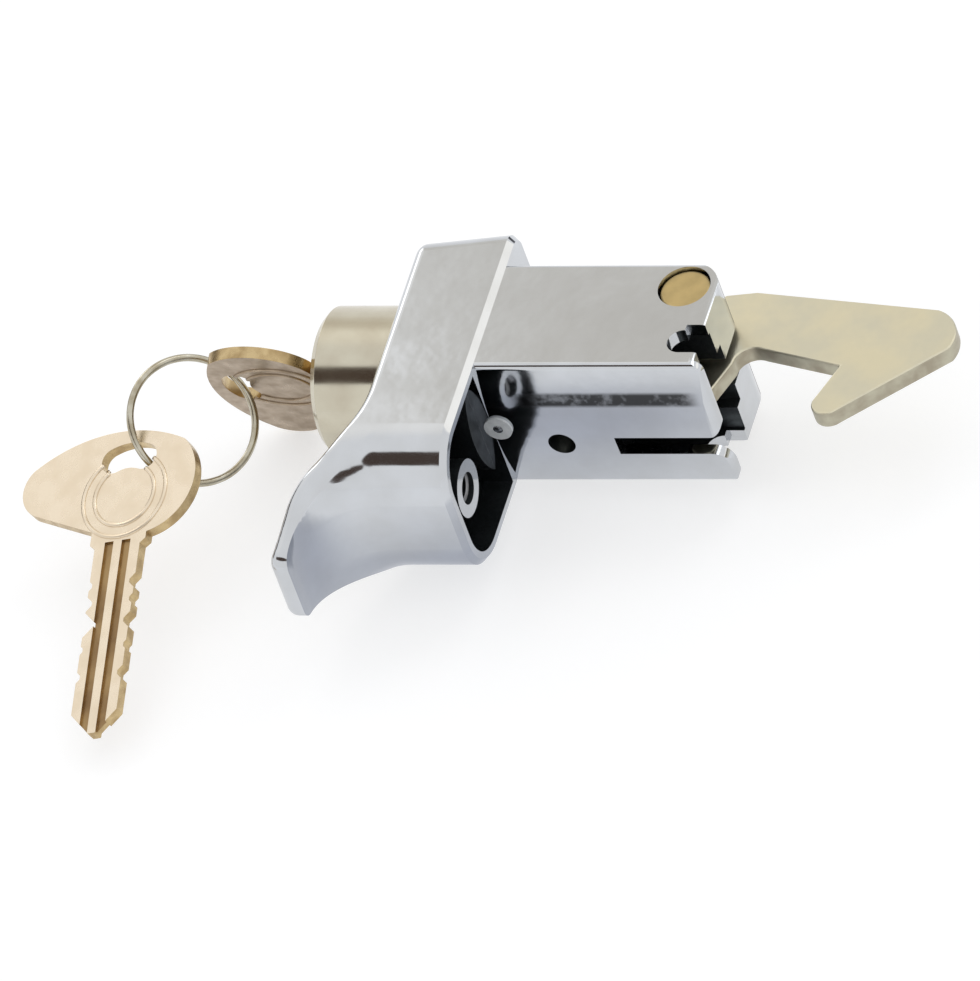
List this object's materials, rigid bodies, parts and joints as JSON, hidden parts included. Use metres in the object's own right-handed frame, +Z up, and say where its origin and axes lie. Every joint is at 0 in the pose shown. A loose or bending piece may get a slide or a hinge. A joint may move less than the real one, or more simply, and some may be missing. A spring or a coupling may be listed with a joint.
{
  "type": "engine lid lock",
  "caption": "Push-button lock for a car engine lid: cast pull handle and housing, keyed button, sprung hook on a cross pin, and keys on a wire ring.",
  "frame": {"origin": "on the button's axis, in the plane of the rim that sits on the lid", "axes": "+Y along the button's axis into the car, +X to the pull lip, +Z up from the side that the lock lies on"},
  "size_m": [0.0823, 0.1452, 0.031],
  "materials": {
    "chrome": "polished chrome plate on die-cast zinc",
    "nickel": "satin nickel plate, turned",
    "brass": "plain machined brass",
    "steel": "plain steel",
    "spring_steel": "oiled spring wire",
    "zinc_steel": "yellow passivated zinc on pressed steel",
    "key_metal": "nickel silver, worn to brass at the edges",
    "ring_steel": "nickel plated wire"
  },
  "bodies": {
    "housing": {"handle_housing": "chrome", "button_stop_pin": "steel", "pivot_pin": "zinc_steel", "pivot_washer": "steel", "button_spring": "spring_steel", "hook_spring": "spring_steel"},
    "button": {"button_sleeve": "nickel"},
    "plug": {"cylinder_plug": "brass", "plug_clip": "spring_steel", "pusher": "steel", "pusher_screw": "steel", "wafer_1": "brass", "wafer_2": "brass", "wafer_3": "brass", "wafer_4": "brass", "wafer_5": "brass"},
    "key": {"key_in_lock": "key_metal"},
    "ring": {"key_ring": "ring_steel"},
    "spare": {"spare_key": "key_metal"},
    "hook": {"hook_lever": "zinc_steel"}
  },
  "joints": [
    {"name": "button_push", "type": "slide", "parent": "housing", "child": "button", "axis": [0, 1, 0], "range_m": [0, 0.004], "stiffness_N_per_m": 1200, "springref_m": -0.004, "deforming": ["button_spring"]},
    {"name": "plug_turn", "type": "hinge", "parent": "button", "child": "plug", "pos_m": [0, -0.0283, 0], "axis": [0, 1, 0], "range_deg": [0, 90]},
    {"name": "key_withdraw", "type": "slide", "parent": "plug", "child": "key", "axis": [0, -1, 0], "range_m": [0, 0.033]},
    {"name": "ring_swing", "type": "hinge", "parent": "key", "child": "ring", "pos_m": [0, -0.044, 0], "axis": [0.4051, 0.6045, -0.6859], "range_deg": [-15, 12]},
    {"name": "spare_key_swing", "type": "hinge", "parent": "ring", "child": "spare", "pos_m": [0.01641, -0.05496, 0.00086], "axis": [0.4531, 0.5732, -0.6828], "range_deg": [-20, 12]},
    {"name": "hook_turn", "type": "hinge", "parent": "housing", "child": "hook", "pos_m": [-0.0075, 0.0299, 0], "axis": [0, 0, 1], "range_deg": [0, 20], "deforming": ["hook_spring"]}
  ],
  "couplings": [
    {"joint": "hook_turn", "follows": "button_push", "rad_per_m": 85}
  ]
}
